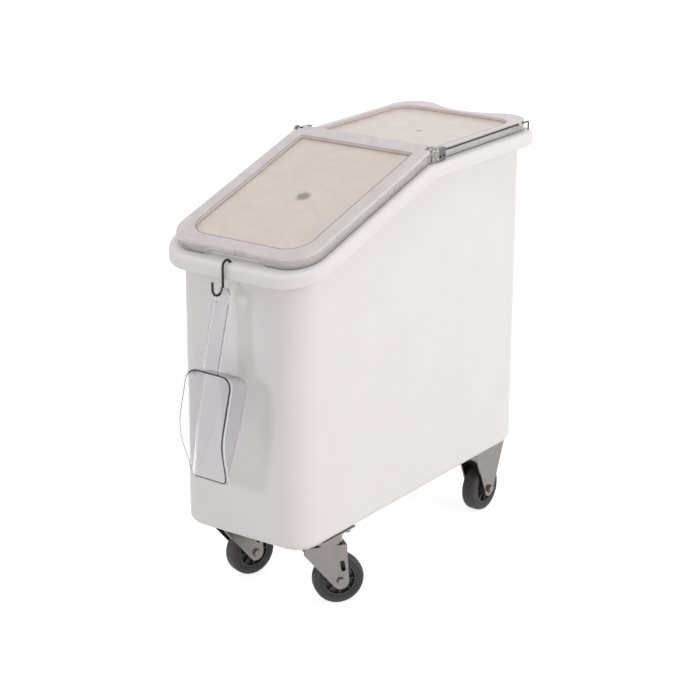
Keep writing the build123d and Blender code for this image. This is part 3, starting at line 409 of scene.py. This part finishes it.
def makeShading():
    # faces smooth, edges sharper than creaseAngle kept
    tree = bpy.data.node_groups.new("smoothByCrease", "GeometryNodeTree")
    tree.interface.new_socket("Geometry", in_out="INPUT", socket_type="NodeSocketGeometry")
    angle = tree.interface.new_socket("creaseAngle", in_out="INPUT", socket_type="NodeSocketFloat")
    tree.interface.new_socket("Geometry", in_out="OUTPUT", socket_type="NodeSocketGeometry")
    start = addNode(tree, "NodeGroupInput")
    turn = addNode(tree, "GeometryNodeInputMeshEdgeAngle")
    sharp = addNode(tree, "FunctionNodeCompare", {"data_type": "FLOAT", "operation": "GREATER_THAN"},
                    links={0: turn.outputs["Unsigned Angle"], 1: start.outputs["creaseAngle"]})
    faces = addNode(tree, "GeometryNodeSetShadeSmooth", {"domain": "FACE"}, {"Shade Smooth": True},
                    {"Geometry": start.outputs["Geometry"]})
    edges = addNode(tree, "GeometryNodeSetShadeSmooth", {"domain": "EDGE"}, {"Shade Smooth": False},
                    {"Geometry": faces.outputs[0], "Selection": sharp.outputs[0]})
    addNode(tree, "NodeGroupOutput", links={"Geometry": edges.outputs[0]})
    return tree, angle.identifier


shadingTree, creaseInput = makeShading()


# angles in degrees, the joining distance in metres; steps across each eased edge
easing = {"join": 0.00001, "level": 0.4, "corner": 38, "steps": 2}


def ease(piece, edge=0.0, crease=30.0, flat=True):
    # joined facets, edges rounded by this many millimetres, smooth shading with real creases kept
    weld = piece.modifiers.new("joinFacets", "WELD")
    weld.merge_threshold = easing["join"]
    if edge:
        if flat:
            level = piece.modifiers.new("levelFaces", "DECIMATE")
            level.decimate_type = "DISSOLVE"
            level.angle_limit = radians(easing["level"])
        bevel = piece.modifiers.new("easedEdges", "BEVEL")
        bevel.limit_method = "ANGLE"
        bevel.angle_limit = radians(easing["corner"])
        bevel.width = edge / 1000
        bevel.segments = easing["steps"]
        bevel.use_clamp_overlap = True
    shade = piece.modifiers.new("shading", "NODES")
    shade.node_group = shadingTree
    shade[creaseInput] = radians(crease)
    normals = piece.modifiers.new("flatNormals", "WEIGHTED_NORMAL")
    normals.keep_sharp = True


def dress(names, material, **how):
    for name in names:
        piece = cadNodes[name]
        piece.data.materials.clear()
        piece.data.materials.append(material)
        ease(piece, **how)


both = ("left", "right")
dress(["tub"], tubPlastic)
dress(["front_lid"], frontLidPlastic, edge=0.8)
dress(["rear_lid"], rearLidPlastic, edge=0.8)
dress(["scoop"], scoopPlastic, edge=0.6)
dress([part + side for part in ("rod_slider_", "knuckle_") for side in both], blockPlastic, edge=0.5)
dress([part + side for part in ("guide_rod_", "hinge_pin_") for side in both] + ["s_hook"], wireSteel)
dress(["slider_screws"], wireSteel, edge=0.3)
for side in both:
    dress(["swivel_plate_" + side, "swivel_fork_" + side, "fixed_fork_" + side], zincSteel, edge=0.6)
    axles = [kind + "_axle_" + part + side for kind in ("swivel", "fixed") for part in ("", "nut_")]
    dress(["kingpin_" + side] + axles, zincSteel, edge=0.4)
    dress(["swivel_balls_" + side, "swivel_sleeve_" + side, "fixed_sleeve_" + side], bearingSteel)
dress(["caster_bolts", "caster_washers", "caster_nuts"], zincSteel, edge=0.3)
print("bin: CAD pieces dressed")


def buildMesh(name, points, faces, material):
    mesh = bpy.data.meshes.new(name)
    mesh.from_pydata(points, [], faces)
    mesh.materials.append(material)
    return mesh


def lathe(name, profile, steps, material):
    # closed ring round local Z from a closed profile of radius and height in millimetres
    points, faces = [], []
    for step in range(steps):
        angle = 2 * pi * step / steps
        for radius, height in profile:
            points.append((radius / 1000 * cos(angle), radius / 1000 * sin(angle), height / 1000))
    count = len(profile)
    for step in range(steps):
        after = (step + 1) % steps
        for spot in range(count):
            beyond = (spot + 1) % count
            faces.append((step * count + spot, after * count + spot,
                          after * count + beyond, step * count + beyond))
    return buildMesh(name, points, faces, material)


def bothSides(half):
    # a profile given from one face's inner edge out to the crown, and mirrored to the other face
    return [(r, -z) for r, z in half] + [(r, z) for r, z in reversed(half) if z > 0]


def addInputs(tree, sockets):
    # a shape going out and named sizes coming in; gives the key of each for the modifier
    tree.interface.new_socket("Geometry", in_out="OUTPUT", socket_type="NodeSocketGeometry")
    return {name: tree.interface.new_socket(name, in_out="INPUT", socket_type="NodeSocket" + sort).identifier
            for name, sort in sockets.items()}


def makeRibTree():
    # ribs set like spokes across a ring, each standing along the axle
    tree = bpy.data.node_groups.new("hubRibs", "GeometryNodeTree")
    inputs = addInputs(tree, {"ribCount": "Int", "ringRadius": "Float", "ribLength": "Float",
                              "ribThickness": "Float", "ribHeight": "Float", "ribFinish": "Material"})
    start = addNode(tree, "NodeGroupInput").outputs
    ringPoints = addNode(tree, "GeometryNodeMeshCircle",
                         links={"Vertices": start["ribCount"], "Radius": start["ringRadius"]})
    where = addNode(tree, "GeometryNodeInputPosition")
    outward = addNode(tree, "FunctionNodeAlignRotationToVector", {"axis": "X"},
                      links={"Vector": where.outputs[0]})
    size = addNode(tree, "ShaderNodeCombineXYZ", links={0: start["ribLength"], 1: start["ribThickness"],
                                                        2: start["ribHeight"]})
    rib = addNode(tree, "GeometryNodeMeshCube", links={"Size": size.outputs[0]})
    ribs = addNode(tree, "GeometryNodeInstanceOnPoints",
                   links={"Points": ringPoints.outputs[0], "Instance": rib.outputs[0],
                          "Rotation": outward.outputs[0]})
    real = addNode(tree, "GeometryNodeRealizeInstances", links={"Geometry": ribs.outputs[0]})
    coat = addNode(tree, "GeometryNodeSetMaterial",
                   links={"Geometry": real.outputs[0], "Material": start["ribFinish"]})
    addNode(tree, "NodeGroupOutput", links={"Geometry": coat.outputs[0]})
    return tree, inputs


def grown(name, tree, inputs, values):
    # the tree's result as a plain mesh
    holder = bpy.data.objects.new(name, bpy.data.meshes.new(name))
    bpy.context.scene.collection.objects.link(holder)
    maker = holder.modifiers.new("maker", "NODES")
    maker.node_group = tree
    for key, value in values.items():
        maker[inputs[key]] = value
    depsgraph = bpy.context.evaluated_depsgraph_get()
    mesh = bpy.data.meshes.new_from_object(holder.evaluated_get(depsgraph))
    bpy.data.objects.remove(holder)
    return mesh


def settle(name, meshes, place, body, node, slot, **how):
    # meshes joined, moved into place, and set to stand for a CAD node on its body
    work = bmesh.new()
    for mesh in meshes:
        work.from_mesh(mesh)
    bmesh.ops.recalc_face_normals(work, faces=work.faces)
    joined = bpy.data.meshes.new(name)
    work.to_mesh(joined)
    work.free()
    for material in meshes[0].materials:
        joined.materials.append(material)
    joined.transform(place)
    piece = bpy.data.objects.new(name, joined)
    bpy.context.scene.collection.objects.link(piece)
    ease(piece, flat=False, **how)
    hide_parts(node)
    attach(piece, body)


def axlePlace(joint):
    # the wheel's centre, with local Z along its axle
    axle = Vector(joint["axis"]).normalized()
    side = Vector((0, 0, 1)).cross(axle).normalized()
    turn = Matrix((side, axle.cross(side), axle)).transposed()
    return Matrix.Translation(joint["pos_m"]) @ turn.to_4x4()


# tyre section in mm, from the bore out: bead, groove, sidewall, shoulder, crown
tyre = {"half": [(30.05, 12.4), (30.6, 13.4), (31.8, 13.8), (32.9, 13.4), (33.5, 12.5), (34.4, 12.4),
                 (35.2, 13.2), (36.6, 13.8), (38.4, 13.7), (40.3, 12.9), (41.8, 11.4), (42.8, 9.4),
                 (43.3, 6.6), (43.5, 3.2)],
        "steps": 96}
# hub section in mm, from the bore out: boss, web floor, rim
hub = {"half": [(7.1, 16.4), (7.7, 17.0), (11.4, 17.0), (12.0, 16.4), (12.3, 13.2), (13.4, 5.6), (14.4, 5.0),
                (24.2, 5.0), (25.2, 5.8), (25.9, 12.2), (26.6, 13.0), (29.2, 13.0), (29.95, 12.3)],
       "steps": 96, "ribCount": 8, "ringRadius": 18.9, "ribLength": 14.0, "ribThickness": 2.2,
       "ribHeight": 23.0}

ribTree, ribInputs = makeRibTree()
joints = {joint["name"]: joint for joint in frame["record"]["behaviour"]["joints"]}
for kind in ("swivel", "fixed"):
    for side in both:
        place = axlePlace(joints[kind + "_wheel_spin_" + side])
        body = kind + "_wheel_" + side
        ring = lathe("tyreRing", bothSides(tyre["half"]), tyre["steps"], tyreRubber)
        settle("detailed_" + kind + "_tyre_" + side, [ring], place, body, kind + "_tyre_" + side,
               "tyre_rubber", crease=40)
        core = lathe("hubCore", bothSides(hub["half"]), hub["steps"], hubPlastic)
        ribs = grown("hubRibs", ribTree, ribInputs,
                     {"ribCount": hub["ribCount"], "ringRadius": hub["ringRadius"] / 1000,
                      "ribLength": hub["ribLength"] / 1000, "ribThickness": hub["ribThickness"] / 1000,
                      "ribHeight": hub["ribHeight"] / 1000, "ribFinish": hubPlastic})
        settle("detailed_" + kind + "_hub_" + side, [core, ribs], place, body, kind + "_hub_" + side,
               "hub_plastic", edge=0.3, crease=35)
print("bin: wheels built")


# floor size in metres; whiten lifts the paper to white for the camera and for what mirrors or shows through
stage = {"size": 60.0, "paper": "#DADADA", "whiten": 0.75, "sky": 0.50}


def directRays(tree):
    # 1 for the camera's rays and those sent on by a shiny or clear surface, 0 for light that only bounces
    seen = addNode(tree, "ShaderNodeLightPath").outputs
    mirror = addNode(tree, "ShaderNodeMath", {"operation": "MAXIMUM"},
                     links={0: seen["Is Camera Ray"], 1: seen["Is Glossy Ray"]})
    return addNode(tree, "ShaderNodeMath", {"operation": "MAXIMUM"},
                   links={0: mirror.outputs[0], 1: seen["Is Transmission Ray"]}).outputs[0]


def makeStage():
    # pale paper floor that keeps the bin's shadow, under a plain white sky
    mesh = bpy.data.meshes.new("studioFloor")
    half = stage["size"] / 2
    corners = [(-half, -half, 0), (half, -half, 0), (half, half, 0), (-half, half, 0)]
    mesh.from_pydata(corners, [], [(0, 1, 2, 3)])
    floor = bpy.data.objects.new("studioFloor", mesh)
    bpy.context.scene.collection.objects.link(floor)
    material, tree = newFinish("studioPaper")[:2]
    direct = directRays(tree)
    paper = addNode(tree, "ShaderNodeBsdfDiffuse", values={"Color": paint(stage["paper"])})
    glow = addNode(tree, "ShaderNodeEmission",
                   values={"Color": paint("#FFFFFF"), "Strength": stage["whiten"]})
    lit = addNode(tree, "ShaderNodeAddShader", links={0: paper.outputs[0], 1: glow.outputs[0]})
    mixed = addNode(tree, "ShaderNodeMixShader",
                    links={0: direct, 1: paper.outputs[0], 2: lit.outputs[0]})
    finishWith(tree, mixed)
    mesh.materials.append(material)

    world = bpy.data.worlds.new("studioWorld")
    world.use_nodes = True
    tree = world.node_tree
    tree.nodes.clear()
    direct = directRays(tree)
    level = addNode(tree, "ShaderNodeMapRange", values={"To Min": stage["sky"], "To Max": 1.0},
                    links={"Value": direct})
    sky = addNode(tree, "ShaderNodeBackground", values={"Color": paint("#FFFFFF")},
                  links={"Strength": level.outputs[0]})
    addNode(tree, "ShaderNodeOutputWorld", links={"Surface": sky.outputs[0]})
    bpy.context.scene.world = world


# soft panels: place, aim and size in metres, power in watts
lamps = {"rightPanel": {"spot": (2.6, 0.7, 0.9), "aim": (0, 0.1, 0.4), "size": (2.6, 2.2), "power": 30.0,
                        "colour": "#FFFFFF"},
         "lowRosePanel": {"spot": (1.5, -1.9, 0.25), "aim": (0.1, -0.2, 0.25), "size": (1.2, 0.6),
                          "power": 4.0, "colour": "#FFD9DA"},
         "topPanel": {"spot": (0.2, -0.2, 3.0), "aim": (0, 0, 0.3), "size": (2.6, 2.6), "power": 18.0,
                      "colour": "#FFFFFF"},
         "frontLeftPanel": {"spot": (-0.6, -2.95, 1.35), "aim": (-0.05, -0.36, 0.42), "size": (0.42, 0.42),
                            "power": 9.5, "colour": "#F3F8FF"}}


def addLamp(name, spot, aim, size, power, colour):
    lamp = bpy.data.lights.new(name, "AREA")
    lamp.color = paint(colour)[:3]
    lamp.shape = "RECTANGLE"
    lamp.size, lamp.size_y = size
    lamp.energy = power
    holder = bpy.data.objects.new(name, lamp)
    holder.location = spot
    holder.rotation_euler = (Vector(aim) - Vector(spot)).to_track_quat("-Z", "Y").to_euler()
    bpy.context.scene.collection.objects.link(holder)


# the photograph's viewpoint, solved from the bin's edges; lens and sensor in millimetres
view = {"spot": (1.9675276, -2.8219682, 1.5325676), "right": (0.81704625, 0.57655445, 0.00451467),
        "up": (-0.18857643, 0.2598193, 0.9470654), "ahead": (-0.54486177, 0.77464759, -0.32100896),
        "lens": 108.0115, "sensor": 36.0, "farthest": 200.0}


def makeCamera():
    camera = bpy.data.cameras.new("photoCamera")
    camera.lens = view["lens"]
    camera.sensor_width = view["sensor"]
    camera.clip_end = view["farthest"]
    holder = bpy.data.objects.new("photoCamera", camera)
    turn = Matrix((view["right"], view["up"], [-v for v in view["ahead"]])).transposed()
    holder.matrix_world = Matrix.Translation(view["spot"]) @ turn.to_4x4()
    bpy.context.scene.collection.objects.link(holder)
    bpy.context.scene.camera = holder


makeStage()
for name, lamp in lamps.items():
    addLamp(name, **lamp)
makeCamera()
bpy.context.scene.view_settings.view_transform = "Standard"
print("bin: stage set")
